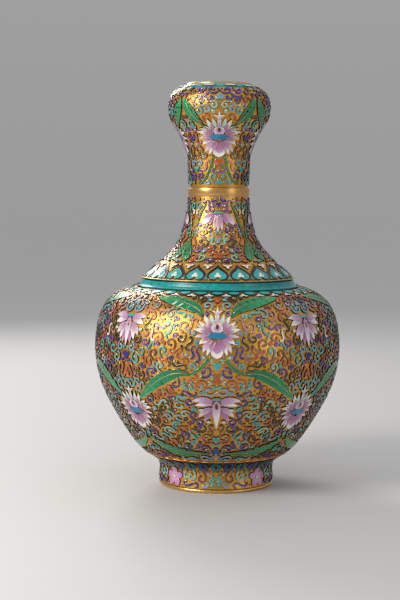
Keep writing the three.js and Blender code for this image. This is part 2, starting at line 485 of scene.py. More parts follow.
def turnedPart(section, finishOfSpan=0, steps=180):
    # a closed section (radius, height) turned round the axis: x = r sin a, y = -r cos a, z
    section = np.asarray(section, float)
    finishOfSpan = np.broadcast_to(finishOfSpan, len(section))
    area = np.sum(section[:, 0] * np.roll(section[:, 1], -1) - np.roll(section[:, 0], -1) * section[:, 1])
    if area < 0:
        section, finishOfSpan = section[::-1], np.roll(finishOfSpan[::-1], -1)
    count = len(section)
    angle = np.arange(steps) * fullTurn / steps
    points = np.stack(np.broadcast_arrays(section[:, 0] * np.sin(angle)[:, None],
                                          -section[:, 0] * np.cos(angle)[:, None], section[:, 1]), axis=-1)
    grid = np.arange(steps * count).reshape(steps, count)
    faces = ringFaces(grid, np.roll(grid, -1, axis=0))
    finish = np.tile(finishOfSpan, steps)
    maps = np.stack(np.broadcast_arrays(angle[:, None] / fullTurn, np.linspace(0, 1, count)), axis=-1)
    return points.reshape(-1, 3), [faces], [finish], maps.reshape(-1, 2)


def shellPart(line, wall):
    # outer line up, inner line down, one wall apart along the normal; finish 0 outside, 1 inside
    zone = makeZone(line)
    outside = zone["line"]
    inside = outside - wall * np.c_[zone["outRadius"], zone["outHeight"]]
    section = np.vstack([outside, inside[::-1]])
    finish = np.r_[np.zeros(len(outside), int), np.ones(len(inside), int)]
    return turnedPart(section, finish)


def beadSection(radius, height, thick, tall, sides=14):
    # an ellipse of half axes thick and tall about (radius, height)
    angle = np.arange(sides) * fullTurn / sides
    return np.c_[radius + thick * np.cos(angle), height + tall * np.sin(angle)]


def nodeCentre(name):
    # radius and height of the middle of a ring node's section, and its half sizes
    section = frontSection(name)
    lowest, highest = section.min(axis=0), section.max(axis=0)
    return (lowest + highest) / 2, (highest - lowest) / 2


# node and piece; the shells are gilded outside and the other two are enamelled
shellRows = {
    "foot_shell": "foot_ground",
    "belly_lower_shell": "belly_lower_ground",
    "belly_upper_shell": "belly_upper_ground",
    "lower_neck_shell": "lower_neck_ground",
    "upper_neck_shell": "upper_neck_ground",
    "head_shell": "head_ground",
    "shoulder_collar": "collar_enamel",
    "mouth_band": "mouth_enamel",
}
# node, piece, size beside the node's section, and finish of the collar's two wires and the lip
beadRows = [
    ("collar_top_wire", "collar_top_line", 0.75, gilt["ring"]),
    ("collar_bottom_wire", "collar_bottom_line", 0.75, glass["turquoise"]),
    ("mouth_rim", "mouth_lip", 1.0, gilt["ring"]),
]


def makeShells():
    for node, pieceName in shellRows.items():
        gilded = node.endswith("shell")
        outside = gilt["ground"] if gilded else glass["collar"]
        makePiece(pieceName, [shellPart(outerLine(node), wallThickness)], [outside, glass["lining"]],
                  "gilt_ground" if gilded else "turquoise_enamel", [node], sharpDegrees=50)


def makeBeads():
    for node, pieceName, share, finish in beadRows:
        (radius, height), (thick, tall) = nodeCentre(node)
        section = beadSection(radius, height, thick * share, tall * share)
        makePiece(pieceName, [turnedPart(section)], [finish], "gilt_trim", [node])


def makeRings():
    # the neck ring: a flat band with two fine steps at each edge; the foot rim: a rolled edge on a flat base
    (radius, height), (thick, tall) = nodeCentre("neck_ring")
    outer, inner, low, high = radius + thick, radius - thick, height - tall, height + tall
    band = [(inner, low), (outer - 0.9, low), (outer - 0.5, low + 0.2), (outer - 0.5, low + 0.7),
            (outer - 0.1, low + 0.9), (outer, low + 1.3), (outer, high - 1.3), (outer - 0.1, high - 0.9),
            (outer - 0.5, high - 0.7), (outer - 0.5, high - 0.2), (outer - 0.9, high), (inner, high)]
    makePiece("neck_ring_band", [turnedPart(band)], [gilt["ring"]], "gilt_trim", ["neck_ring"],
              sharpDegrees=35)
    (radius, height), (thick, tall) = nodeCentre("foot_rim")
    outer, inner, top = radius + thick, radius - thick, height + tall
    roll = np.linspace(-quarterTurn, quarterTurn, 9)
    rolled = np.c_[outer - tall + tall * np.cos(roll), height + tall * np.sin(roll)]
    section = np.vstack([[(inner, 0.0)], rolled, [(inner + 0.8, top)]])
    makePiece("foot_rolled_rim", [turnedPart(section)], [gilt["ring"]], "gilt_trim", ["foot_rim"],
              sharpDegrees=50)
    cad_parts["base_plate"].data.materials.clear()
    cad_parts["base_plate"].data.materials.append(gilt["copper"])


makeShells()
makeBeads()
makeRings()
print("shells and rings made")


# ---- raised cells ----

cellPlan = {"height": 1.05, "dip": 0.12, "edge": 0.32, "wire": 0.2, "sink": 0.25}
# finish numbers of the gold wire, of the side wall painted dark as a shadow line, and of the first enamel
wireFill, shadowWallFill, firstFill = 0, 1, 2


def cellPart(zone, turn, climb, paths, halves, lift=0.0, fill=firstFill, plan=cellPlan):
    # cells carried along paths (n, m, 2) about centres (n,); a section runs over the wall, painted very dark
    # as the cells' shadow line, the gold wire and the glass, at path + spread * left normal, where spread is
    # half + edge, half, half - wire and 0
    turn, climb = np.broadcast_arrays(np.atleast_1d(turn), climb)
    halves = np.broadcast_to(halves, paths.shape[:2])
    tangent = np.gradient(paths, axis=1)
    tangent /= np.maximum(np.hypot(tangent[..., 0], tangent[..., 1]), 1e-9)[..., None]
    inner = np.maximum(halves - plan["wire"], 0.4 * halves)
    foot = halves + plan["edge"]
    spread = np.stack([-foot, -halves, -inner, 0 * halves, inner, halves, foot], -1)
    top = plan["height"] + lift
    rise = np.array([-plan["sink"], top, top - 0.04, top - plan["dip"], top - 0.04, top, -plan["sink"]])
    across = paths[..., 0, None] - tangent[..., 1, None] * spread
    level = climb[:, None, None] + paths[..., 1, None] + tangent[..., 0, None] * spread
    points = onWall(zone, turn[:, None, None] + across / radiusAt(zone, level), level, rise)
    cells, stations = paths.shape[:2]
    grid = np.arange(cells * stations * 7).reshape(cells, stations, 7)
    around = ringFaces(grid[:, :-1], grid[:, 1:])
    # the outer walls and the end caps take the finish painted dark as a shadow line
    finish = np.tile([shadowWallFill, wireFill, fill, fill, wireFill, shadowWallFill, shadowWallFill], cells * (stations - 1))
    along = np.broadcast_to(np.linspace(0, 1, stations)[:, None], (cells, stations, 7))
    sideways = np.broadcast_to(np.array([0, 0.05, 0.12, 0.5, 0.88, 0.95, 1.0]), along.shape)
    return (points.reshape(-1, 3), [around, grid[:, 0].reshape(-1, 7), grid[:, -1, ::-1].reshape(-1, 7)],
            [finish, shadowWallFill, shadowWallFill], np.stack([along, sideways], axis=-1).reshape(-1, 2))


def patchPart(zone, turn, climb, outline, lift=0.0, height=None, dome=0.15, fill=firstFill, plan=cellPlan):
    # round cells about centres (n,): rings at 0.6 of the outline, inside its wire, on it and at its foot
    turn, climb = np.broadcast_arrays(np.atleast_1d(turn), climb)
    outline = np.broadcast_to(outline, (len(turn), *np.shape(outline)[-2:]))
    count = outline.shape[1]
    reach = np.maximum(np.hypot(outline[..., 0], outline[..., 1]), 1e-9)[..., None]
    wire = np.minimum(plan["wire"], 0.4 * reach)
    top = (plan["height"] if height is None else height) + lift
    grown = (0.6, 1 - wire / reach, 1, 1 + plan["edge"] / reach)
    rings = np.stack([outline * share for share in grown], axis=1)
    rise = np.array([top + 0.65 * dome, top - 0.04, top, -plan["sink"]])[:, None]
    level = climb[:, None, None] + rings[..., 1]
    points = onWall(zone, turn[:, None, None] + rings[..., 0] / radiusAt(zone, level), level, rise)
    poles = np.stack([onWall(zone, turn, climb, up) for up in (top + dome, -plan["sink"])], axis=1)
    points = np.concatenate([points.reshape(len(turn), -1, 3), poles], axis=1)
    size = 4 * count + 2
    first = np.arange(len(turn))[:, None] * size
    here = np.arange(count)
    after = (here + 1) % count

    def facesOf(*corners):
        grids = np.broadcast_arrays(*(first + corner for corner in corners))
        return np.stack(grids, axis=-1).reshape(-1, len(corners))

    faces = [facesOf(size - 2, here, after)]
    faces += [facesOf(k * count + here, (k + 1) * count + here, (k + 1) * count + after, k * count + after)
              for k in range(3)]
    faces.append(facesOf(size - 1, 3 * count + after, 3 * count + here))
    shares = np.concatenate([np.full(count, 0.6), np.ones(3 * count), [0.0, 1.0]])
    around = np.concatenate([np.tile(here / count, 4), [0.5, 0.5]])
    maps = np.tile(np.c_[shares, around], (len(turn), 1))
    # the outer wall and the bottom take the finish painted dark as a shadow line
    return points.reshape(-1, 3), faces, [fill, fill, wireFill, shadowWallFill, shadowWallFill], maps


def ovalOutline(halfWide, halfTall, sides=16, waves=0, depth=0.0):
    # (a cos t, b sin t), its reach lowered by depth where cos(waves t) is low
    angle = np.arange(sides) * fullTurn / sides
    reach = 1 - depth * (1 - np.cos(waves * angle)) / 2
    return np.c_[halfWide * reach * np.cos(angle), halfTall * reach * np.sin(angle)]


def trefoilOutline(size, point):
    # three round lobes: reach = size (0.4 + 0.6 |cos 1.5 t|^0.6); point is 1 for one lobe up, -1 for one down
    angle = np.arange(24) * fullTurn / 24
    reach = size * (0.4 + 0.6 * np.abs(np.cos(1.5 * (angle - point * quarterTurn))) ** 0.6)
    return np.c_[reach * np.cos(angle), reach * np.sin(angle)]


def leafWidths(stations, half, early=0.8, full=0.9):
    # half * sin(pi t^early)^full: early moves the widest place, full below 1 rounds the ends
    t = np.linspace(0, 1, stations)
    return np.maximum(half * np.sin(math.pi * t**early) ** full, 0.06)


def bowedPath(base, tip, bow, stations):
    # straight from base to tip, pushed sideways by 4 bow t (1 - t)
    t = np.linspace(0, 1, stations)[:, None]
    base, tip = np.array(base, float), np.array(tip, float)
    line = tip - base
    left = np.array([-line[1], line[0]]) / np.hypot(*line)
    return base + line * t + left * (4 * bow * t * (1 - t))


# ---- flowers ----

# each petal: base, tip, half width, bow, where widest, fullness, enamel, layer; a petal or disc off the
# middle has a mirror image
lotusPetals = [
    ((2.6, 4.0), (11.2, 17.0), 2.3, -0.8, 0.9, 0.9, "petalWhite", 1),
    ((1.6, 5.0), (5.8, 18.4), 1.9, -0.5, 1.1, 0.9, "petalGreen", 0),
    ((4.0, 3.0), (16.0, 11.4), 2.2, -0.7, 0.9, 0.9, "petalWhite", 0),
    ((5.5, 0.8), (20.6, 4.2), 2.2, 0.8, 0.9, 0.9, "petalWhite", 1),
    ((6.0, 2.2), (18.4, 8.0), 1.3, 0.3, 1.0, 0.9, "petalGreen", 0),
    ((6.0, -1.2), (19.4, -2.4), 1.9, 0.6, 0.9, 0.9, "petal", 0),
    ((5.5, -3.0), (15.6, -8.6), 2.3, 0.9, 0.9, 0.9, "petalWhite", 1),
    ((4.0, -4.0), (12.4, -16.0), 2.5, 1.1, 0.9, 0.9, "petal", 1),
    ((2.4, -4.6), (8.8, -18.6), 2.2, 0.8, 0.9, 0.9, "petalWhite", 0),
    ((1.6, -4.6), (5.4, -14.6), 2.4, 0.6, 0.9, 0.9, "petalPink", 2),
    ((0.0, -7.0), (0.0, -20.8), 5.6, 0.0, 1.2, 0.55, "petalWhite", 1),
    ((0.0, -6.0), (0.0, -16.6), 3.6, 0.0, 1.2, 0.6, "petalPink", 2),
    ((2.2, 2.6), (7.6, 12.4), 2.0, -0.7, 0.9, 0.9, "petalPink", 2),
    ((4.6, 1.2), (12.2, 8.2), 1.9, -0.6, 0.9, 0.9, "petalPink", 2),
    ((6.0, 0.4), (14.4, 3.2), 1.7, 0.3, 0.9, 0.9, "petalPink", 2),
    ((6.0, -2.0), (13.0, -5.6), 1.8, 0.5, 0.9, 0.9, "petalPink", 2),
    ((0.0, 7.0), (0.0, 25.4), 1.9, 0.0, 0.7, 0.8, "petalWhite", 2),
    ((0.4, 16.6), (5.4, 21.2), 1.0, 1.2, 0.8, 0.8, "petalWhite", 2),
]
lotusDiscs = [
    ((0.0, 5.2), ovalOutline(5.0, 4.6, 20), "petal", 3),
    ((0.0, -1.0), ovalOutline(9.4, 3.4, 30, 10, 0.22), "centreBlue", 4),
    ((0.0, 6.4), ovalOutline(1.6, 2.6, 12), "maroon", 4),
]

bellPetals = [
    ((2.4, 10.2), (19.4, 11.6), 3.0, 1.4, 0.8, 0.8, "petal", 1),
    ((3.0, 8.6), (18.0, 5.0), 2.8, 1.2, 1.0, 0.8, "petalWhite", 0),
    ((3.0, 6.0), (13.6, -4.6), 3.0, 1.0, 1.0, 0.8, "petal", 1),
    ((2.4, 4.0), (9.0, -9.0), 2.4, 0.8, 1.0, 0.8, "petalWhite", 0),
    ((1.6, 1.0), (5.0, -12.4), 2.3, 0.5, 1.0, 0.8, "petalPink", 1),
    ((0.0, 11.4), (0.0, -15.4), 3.3, 0.0, 0.62, 0.9, "petalWhite", 2),
]
bellDiscs = [
    ((0.0, 12.6), ovalOutline(4.2, 1.4, 16), "turquoise", 3),
    ((0.0, 5.2), ovalOutline(0.9, 2.6, 12), "amber", 3),
    ((15.6, 0.4), ovalOutline(2.0, 1.5, 12), "petalGreen", 2),
]

butterflyPetals = [
    ((2.5, 11.6), (21.6, 12.8), 3.1, 1.6, 0.8, 0.8, "petal", 1),
    ((3.0, 9.4), (19.0, 8.0), 2.4, 1.0, 0.9, 0.8, "petalWhite", 0),
    ((3.0, 6.0), (15.4, -4.0), 2.9, 1.4, 0.9, 0.8, "petal", 1),
    ((2.4, 3.0), (10.6, -9.0), 2.4, 1.0, 0.9, 0.8, "petalPink", 0),
    ((0.0, 13.6), (0.0, -17.6), 3.7, 0.0, 0.55, 1.0, "petalWhite", 2),
]
butterflyDiscs = [
    ((0.0, 14.8), ovalOutline(4.0, 1.4, 16), "turquoise", 3),
    ((0.0, 7.4), ovalOutline(1.5, 3.1, 14), "maroon", 3),
    ((13.0, 3.4), ovalOutline(2.4, 1.6, 12), "petalGreen", 2),
    ((6.4, -9.2), ovalOutline(1.9, 1.5, 12), "petalGreen", 2),
]

hangingPetals = [
    ((2.6, 9.2), (14.6, -1.6), 3.3, 1.8, 1.2, 0.7, "petal", 0),
    ((2.2, 9.4), (8.2, -1.6), 2.0, 0.8, 1.1, 0.8, "petalPink", 1),
    ((1.3, 9.2), (3.4, -7.0), 1.6, 0.2, 1.0, 0.7, "petal", 2),
    ((0.0, 9.2), (0.0, -9.0), 1.4, 0.0, 1.0, 0.7, "petal", 3),
]
hangingDiscs = [((0.0, 9.8), ovalOutline(4.0, 1.2, 16), "turquoise", 4)]

plumPetals = [((1.2 * math.sin(turn), 1.2 * math.cos(turn)), (9.6 * math.sin(turn), 9.6 * math.cos(turn)),
               3.3, 0.0, 1.15, 0.6, "plum", 0) for turn in np.arange(5) * fullTurn / 5]
plumDiscs = [((0.0, 0.0), ovalOutline(1.7, 1.7, 12), "cream", 2)]

layerStep = 0.13  # how much higher each layer of petals stands
petalStations = 11


def fillNumber(colours, colour):
    # an enamel's number among a piece's finishes; it joins the list of its enamels if it is new
    if colour not in colours:
        colours.append(colour)
    return firstFill + colours.index(colour)


def flowerParts(zone, turn, climb, petals, discs, size, mirrored):
    # petals and discs of one flower, as parts and the enamels that they use
    colours, parts = [], []
    for base, tip, half, bow, early, full, colour, layer in petals:
        path = bowedPath(base, tip, bow, petalStations) * size
        widths = leafWidths(petalStations, half * size, early, full)
        fill = fillNumber(colours, colour)
        for side in (1, -1) if mirrored and abs(tip[0]) > 0.01 else (1,):
            line = (path * (side, 1))[None]
            parts.append(cellPart(zone, turn, climb, line, widths[None], layer * layerStep, fill))
    for (across, up), outline, colour, layer in discs:
        level = climb + up * size
        fill = fillNumber(colours, colour)
        for side in (1, -1) if abs(across) > 0.01 else (1,):
            spot = turn + side * across * size / radiusAt(zone, level)
            parts.append(patchPart(zone, spot, level, outline * size, layer * layerStep, fill=fill))
    return parts, colours


def finishesOf(*colours):
    # the gold wire, the wall painted very dark as a shadow line, and these enamels
    return [gilt["wire"], gilt["shade"], *(glass[colour] for colour in colours)]


# piece name, node name, wall, height of the centre, first turn, petals, discs, size, slot
flowerRows = [
    ("head_lotus", "head", 327.0, 0.0, lotusPetals, lotusDiscs, 1.0, "lotus_enamel"),
    ("neck_blossom", "neck", 246.5, 0.0, hangingPetals, hangingDiscs, 1.0, "blossom_enamel"),
    ("upper_lotus", "belly", 152.3, 0.0, lotusPetals, lotusDiscs, 1.0, "lotus_enamel"),
    ("upper_blossom", "belly", 153.5, eighthTurn, bellPetals, bellDiscs, 1.0, "blossom_enamel"),
    ("lower_blossom", "belly", 82.5, 0.0, butterflyPetals, butterflyDiscs, 1.0, "blossom_enamel"),
    ("lower_lotus", "belly", 81.5, eighthTurn, lotusPetals, lotusDiscs, 1.0, "lotus_enamel"),
    ("foot_plum", "foot", 12.8, eighthTurn, plumPetals, plumDiscs, 0.98, "blossom_enamel"),
]


def makeFlowers():
    for name, zoneName, height, firstTurn, petals, discs, size, slot in flowerRows:
        zone = zones[zoneName]
        for copy in range(4):
            turn = firstTurn + copy * quarterTurn
            parts, colours = flowerParts(zone, turn, climbAt(zone, height), petals, discs, size,
                                         mirrored=petals is not plumPetals)
            node = "%s_%d" % (name, copy + 1)
            makePiece(node + "_cells", parts, finishesOf(*colours), slot, [node])


makeFlowers()
print("flowers made")


# ---- leaves and stems ----

# name, wall, half width, how far along it is widest, row of nodes, and the spine from stalk to tip as
# (degrees round from the flower's axis, height)
leafRows = [
    ("upper_leaf", "belly", 7.0, 0.95, "upper_leaf",
     ((6.6, 167.5), (9, 172.5), (13.5, 176.3), (20, 178.9), (27, 180.4), (34.5, 181.4))),
    ("middle_leaf", "belly", 5.8, 0.85, None,
     ((12.0, 117.5), (18, 118.4), (26, 112.0), (34, 101.0), (39.5, 92.0))),
    ("lower_leaf", "belly", 4.8, 0.85, "lower_leaf",
     ((9, 42.6), (20, 42.4), (31, 45.5), (40, 51.5), (44, 56.5))),
    ("head_leaf", "head", 5.0, 1.2, None,
     ((20.5, 335.5), (26, 340.0), (33.5, 347.0), (39, 354.5), (42, 361.0))),
    ("neck_leaf", "neck", 5.2, 1.5, None, ((43.4, 232.0), (42.0, 226.5), (39.0, 219.5), (34.6, 212.5))),
]
stemRows = [
    ("belly", ((3.8, 131.5), (5.5, 127.0), (8.5, 121.0), (12.4, 117.4)), 1.3),
    ("belly", ((39.5, 92.2), (42.0, 88.0)), 1.0),
    ("belly", ((4.0, 41.5), (9.5, 42.5)), 1.0),
    ("head", ((15.5, 332.0), (18.0, 333.6), (20.9, 335.9)), 1.0),
    ("head", ((11.0, 309.0), (14.5, 300.0), (22.0, 291.0), (31.0, 284.8), (40.0, 283.4)), 0.95),
    ("head", ((5.0, 307.0), (4.4, 302.0), (9.0, 296.5)), 0.85),
    ("neck", ((43.2, 233.0), (39.5, 243.0), (33.0, 255.0), (24.0, 265.0)), 0.95),
]
leafPlan = {
    "stations": 41,
    "teeth": 7,
    "teethTo": 0.92,
    "cut": 0.5,  # depth of a tooth as a share of the half width
    "stalk": 0.16,  # half width at the ends as a share of the widest
    "bladeLift": 0.15,
    "vein": {"lift": 0.2, "half": 0.2, "edge": 0.15},
    "stemStations": 15,
}


def spinePath(zone, marks, stations):
    # a smooth line through (degrees, height) marks, evenly spaced, as offsets from its own middle
    marks = np.array(marks, float)
    line = smoothLine(np.c_[np.radians(marks[:, 0]), climbAt(zone, marks[:, 1])], 16)
    radius = radiusAt(zone, line[:, 1])
    length = np.r_[0, np.cumsum(np.hypot(np.diff(line[:, 0]) * radius[1:], np.diff(line[:, 1])))]
    even = np.linspace(0, length[-1], stations)
    turn, climb = np.interp(even, length, line[:, 0]), np.interp(even, length, line[:, 1])
    middleTurn, middleClimb = turn.mean(), climb.mean()
    return middleTurn, middleClimb, np.c_[(turn - middleTurn) * radiusAt(zone, climb), climb - middleClimb]


def mirroredTurns(turns):
    # every quarter turn, and its mirror image, with the side that is mirrored: (turn, side) pairs
    return [(quarter * quarterTurn + side * turns, side) for quarter in range(4) for side in (1, -1)]


def leafPart(zone, turn, level, path, half, side, early):
    # a toothed blade with a gold vein along its spine; the left edge is cut back along a saw of teeth: the
    # width loses half of each cut and the path moves the other half to the right
    t = np.linspace(0, 1, leafPlan["stations"])
    stalk, vein = leafPlan["stalk"], leafPlan["vein"]
    full = half * (stalk + (1 - stalk) * np.sin(math.pi * t**early)) * np.clip((1 - t) * 12, 0, 1)
    cut = leafPlan["cut"] * full * ((leafPlan["teeth"] * t) % 1.0) * (t < leafPlan["teethTo"])
    tangent = np.gradient(path, axis=0)
    tangent /= np.hypot(tangent[:, 0], tangent[:, 1])[:, None]
    bladePath = path + np.c_[tangent[:, 1], -tangent[:, 0]] * (cut / 2)[:, None]
    blade = cellPart(zone, turn, level, (bladePath * (side, 1))[None], np.maximum(full - cut / 2, 0.06)[None],
                     leafPlan["bladeLift"])
    veinPath = (path * (side, 1))[None, 2:-4:3]
    line = cellPart(zone, turn, level, veinPath, vein["half"], vein["lift"], wireFill,
                    dict(cellPlan, edge=vein["edge"], dip=0.0))
    return [blade, line]


def makeLeaves():
    for name, zoneName, half, early, node, marks in leafRows:
        zone = zones[zoneName]
        middle, level, path = spinePath(zone, marks, leafPlan["stations"])
        for copy, (turn, side) in enumerate(mirroredTurns(middle), 1):
            parts = leafPart(zone, turn, level, path, half, side, early)
            makePiece("%s_%d_blade" % (name, copy), parts, finishesOf("leaf"), "green_enamel",
                      ["%s_%d" % (node, copy)] if node else [])


def makeStems():
    parts = {}
    for zoneName, marks, half in stemRows:
        zone = zones[zoneName]
        middle, level, path = spinePath(zone, marks, leafPlan["stemStations"])
        for turn, side in mirroredTurns(middle):
            parts.setdefault(zoneName, []).append(cellPart(zone, turn, level, (path * (side, 1))[None], half))
    for zoneName, made in parts.items():
        makePiece(zoneName + "_stems", made, finishesOf("stem"), "green_enamel")


# small trefoils on the axes: degrees round, height, size, point up or down, enamel
trefoilRows = {
    "belly": [
        (0, 125.5, 3.4, -1, "turquoise"), (0, 112.0, 3.6, 1, "coral"), (0, 180.4, 3.2, -1, "coral"),
        (0, 57.0, 3.2, -1, "turquoise"), (0, 44.0, 4.2, 1, "deepBlue"), (45, 131.0, 3.8, -1, "cobalt"),
        (45, 116.0, 3.0, 1, "coral"), (45, 176.5, 3.0, 1, "skyBlue"), (45, 51.0, 3.2, -1, "coral"),
    ],
    "neck": [
        (0, 231.0, 2.8, -1, "skyBlue"), (0, 217.0, 3.6, 1, "coral"), (0, 264.0, 2.4, -1, "cobalt"),
        (45, 241.0, 2.2, 1, "coral"),
    ],
    "head": [
        (0, 303.0, 3.4, -1, "coral"), (0, 285.0, 2.6, 1, "turquoise"), (0, 361.0, 3.2, 1, "skyBlue"),
        (45, 325.0, 3.0, -1, "cobalt"), (45, 297.0, 2.6, -1, "turquoise"),
    ],
}
fourTurns = np.arange(4) * quarterTurn


def makeTrefoils():
    for zoneName, rows in trefoilRows.items():
        zone, colours, parts = zones[zoneName], [], []
        for degrees, height, size, point, colour in rows:
            parts.append(patchPart(zone, np.radians(degrees) + fourTurns, climbAt(zone, height),
                                   trefoilOutline(size * 1.15, point), fill=fillNumber(colours, colour)))
        makePiece(zoneName + "_trefoil_1_cells", parts, finishesOf(*colours), "scroll_enamel")


pairPlan = {"aside": 4.9, "bulge": 2.9, "halfTall": 5.2, "height": 11.6, "half": 1.25, "stations": 21}


def makePairs():
    # two strokes back to back on each front line of the foot, each bulging twice towards the other:
    # aside - bulge |sin 2 pi t|^0.8
    plan, zone = pairPlan, zones["foot"]
    t = np.linspace(0, 1, plan["stations"])
    aside = plan["aside"] - plan["bulge"] * np.abs(np.sin(fullTurn * t)) ** 0.8
    path = np.c_[aside, plan["halfTall"] * (1 - 2 * t)]
    widths = plan["half"] * np.sqrt(np.clip(np.minimum(t, 1 - t) * 12, 0.05, 1))
    level = climbAt(zone, plan["height"])
    parts = [cellPart(zone, fourTurns, level, np.tile(path * (side, 1), (4, 1, 1)), widths)
             for side in (1, -1)]
    makePiece("foot_pair_1_cells", parts, finishesOf("turquoise"), "scroll_enamel")


makeLeaves()
makeStems()
makeTrefoils()
makePairs()
print("leaves made")


# ---- borders ----

def heartOutline(halfWide, tall, sides=28):
    # a heart on its lobes, point up: x = a sin^3 t,
    # y = b ((5 cos 2t + 2 cos 3t + cos 4t - 13 cos t) / 14.5 - 0.17)
    angle = np.arange(sides) * fullTurn / sides
    once, twice, thrice, fourfold = (np.cos(times * angle) for times in (1, 2, 3, 4))
    up = (5 * twice + 2 * thrice + fourfold - 13 * once) / 14.5 - 0.17
    return np.c_[halfWide * np.sin(angle) ** 3, tall * up]


def triangleOutline(halfWide, tall, point):
    # a triangle with soft corners; point is 1 for point up, -1 for point down
    angle = np.arange(12) * fullTurn / 12 + point * quarterTurn
    reach = 0.62 + 0.38 * np.cos(3 * (angle - point * quarterTurn))
    return np.c_[halfWide * reach * np.cos(angle), tall * reach * np.sin(angle)]


bellyEnd = zones["belly"]["length"]
lappetLow, lappetHigh = climbAt(zones["foot"], 19.8), zones["foot"]["length"] - 0.8
lappetMiddle, lappetTall = (lappetLow + lappetHigh) / 2, (lappetHigh - lappetLow) / 2

# rings of cells laid one on the other: how many, first place in steps, climb, outline, enamel, height, edge
borderRows = {
    # heart lappets over the collar with a white trefoil in each, each on a larger very dark heart painted as
    # its shadow outline, and triangles between them
    "heart_border": ("neck", [
        (20, 0.0, 11.1, heartOutline(10.2, 10.6), "black", 0.7, 0.32),
        (20, 0.0, 8.9, heartOutline(7.9, 7.2), "turquoise", 1.0, 0.32),
        (20, 0.0, 6.4, trefoilOutline(3.3, 1), "cream", 1.3, 0.32),
        (20, 0.5, 18.6, triangleOutline(5.4, 3.6, -1), "cream", 1.05, 0.32),
        (20, 0.5, 3.0, triangleOutline(2.2, 2.8, 1), "turquoise", 0.9, 0.32),
    ]),
    # ovals under the collar, each on a larger very dark oval painted as its shadow outline, with white
    # triangles between them
    "shoulder_border": ("belly", [
        (36, 0.0, bellyEnd - 6.6, ovalOutline(6.6, 4.6, 20), "black", 0.8, 0.32),
        (36, 0.0, bellyEnd - 6.6, ovalOutline(5.0, 3.2, 20), "turquoise", 1.15, 0.32),
        (36, 0.5, bellyEnd - 11.6, triangleOutline(5.2, 3.4, 1), "cream", 1.05, 0.32),
    ]),
    # white crescents on the mouth, edged with very dark enamel painted as their shadow
    "mouth_border": ("mouth", [
        (12, 0.5, 2.4, ovalOutline(6.8, 1.9, 18), "black", 0.35, 0.4),
        (12, 0.5, 2.3, ovalOutline(5.4, 1.3, 18), "cream", 0.6, 0.2),
    ]),
    # dark lappets on the flare of the foot, teal and blue in turn, with very dark rims and middles painted as
    # shadow, the teal darkened as painted shade, and red dots between
    "foot_border": ("foot", [row for start, colour in ((0.0, "deepTeal"), (0.5, "deepBlue")) for row in (
        (15, start, lappetMiddle, ovalOutline(6.0, lappetTall, 22), "black", 0.5, 0.32),
        (15, start, lappetMiddle, ovalOutline(4.9, lappetTall - 1.2, 22), colour, 0.85, 0.32),
        (15, start, lappetMiddle - 0.5, ovalOutline(1.5, lappetTall - 3.2, 14), "black", 1.1, 0.32),
    )] + [(30, 0.5, lappetLow + 0.2, ovalOutline(1.1, 1.1, 10), "coral", 1.05, 0.32)]),
}


def makeBorders():
    for name, (zoneName, rows) in borderRows.items():
        colours, parts = [], []
        for count, start, climb, outline, colour, height, edge in rows:
            turns = (np.arange(count) + start) * fullTurn / count
            parts.append(patchPart(zones[zoneName], turns, climb, outline, height=height,
                                   fill=fillNumber(colours, colour), plan=dict(cellPlan, edge=edge)))
        makePiece(name, parts, finishesOf(*colours), "turquoise_enamel")


scallopPlan = {"count": 36, "low": 0.6, "deep": 1.2, "half": 0.5, "halfTall": 0.6, "lift": 0.45,
               "steps": 432, "sides": 6}


def makeScallops():
    # a scalloped wire where the foot's flare meets the belly: its climb is low + deep |sin (count / 2) a|
    plan = scallopPlan
    steps, sides = plan["steps"], plan["sides"]
    angle = (np.arange(steps) * fullTurn / steps)[:, None]
    around = np.arange(sides) * fullTurn / sides
    level = plan["low"] + plan["deep"] * np.abs(np.sin(plan["count"] / 2 * angle))
    points = onWall(zones["belly"], angle, level + plan["half"] * np.cos(around),
                    plan["lift"] + plan["halfTall"] * np.sin(around))
    grid = np.arange(steps * sides).reshape(steps, sides)
    faces = ringFaces(grid, np.roll(grid, -1, axis=0))
    maps = np.zeros((steps * sides, 2))
    makePiece("scalloped_wire", [(points.reshape(-1, 3), [faces], [0], maps)], [gilt["ring"]], "gilt_trim")


makeBorders()
makeScallops()
print("borders made")


# ---- scrolls ----

scrollPlan = {
    "stations": 11,
    "half": 0.98,
    "gap": 0.12,  # ground left between two walls
    "join": 0.7,  # how far a stroke starts inside the one it grows from
    "startFrom": 0.3,  # a stroke starts at least this far from anything taken
    "startTo": 0.75,  # and at most this far
    "lead": 2.7,  # length at the start that may lie nearer to its neighbour than the gap
    "beside": 0.9,  # a stroke runs beside something when its wall is this near, beyond the gap
    "pitch": 0.4,  # grid on which room is looked up
    "turnsTried": 28,
    "pointsTried": 22,
    "tipShare": 0.22,
    "tipSize": 0.85,
    "tipLift": 0.1,
    "dotSize": 0.8,
    "dotRoom": 0.7,  # half width that is kept free for a dot, beside its wall
    "dotClear": 0.5,  # ground round a dot
    "dotApart": 1.6,  # ground between two dots
    "dotHeight": 0.9,
    "dotLimit": 120,
    "seed": 11,
}
dotColours = ["coral", "mint", "leaf", "skyBlue", "amber"]

# how often each colour is drawn; the very dark strokes are painted shade, standing for the dark shading
# between the scrolls
scrollColours = {"skyBlue": 0.24, "turquoise": 0.22, "cobalt": 0.17, "coral": 0.14, "amber": 0.03,
                 "mint": 0.08, "purple": 0.05, "rose": 0.02, "cream": 0.005, "black": 0.045}

# wall, first climb, last climb from the end, distance between colour seeds, size of the strokes
scrollRows = [
    ("foot", 0.3, -16.8, 5.0, 1.15),
    ("belly", 3.0, -13.5, 5.6, 1.0),
    ("neck", 22.6, -0.8, 5.6, 0.95),
    ("head", 0.8, -0.8, 5.6, 0.95),
]

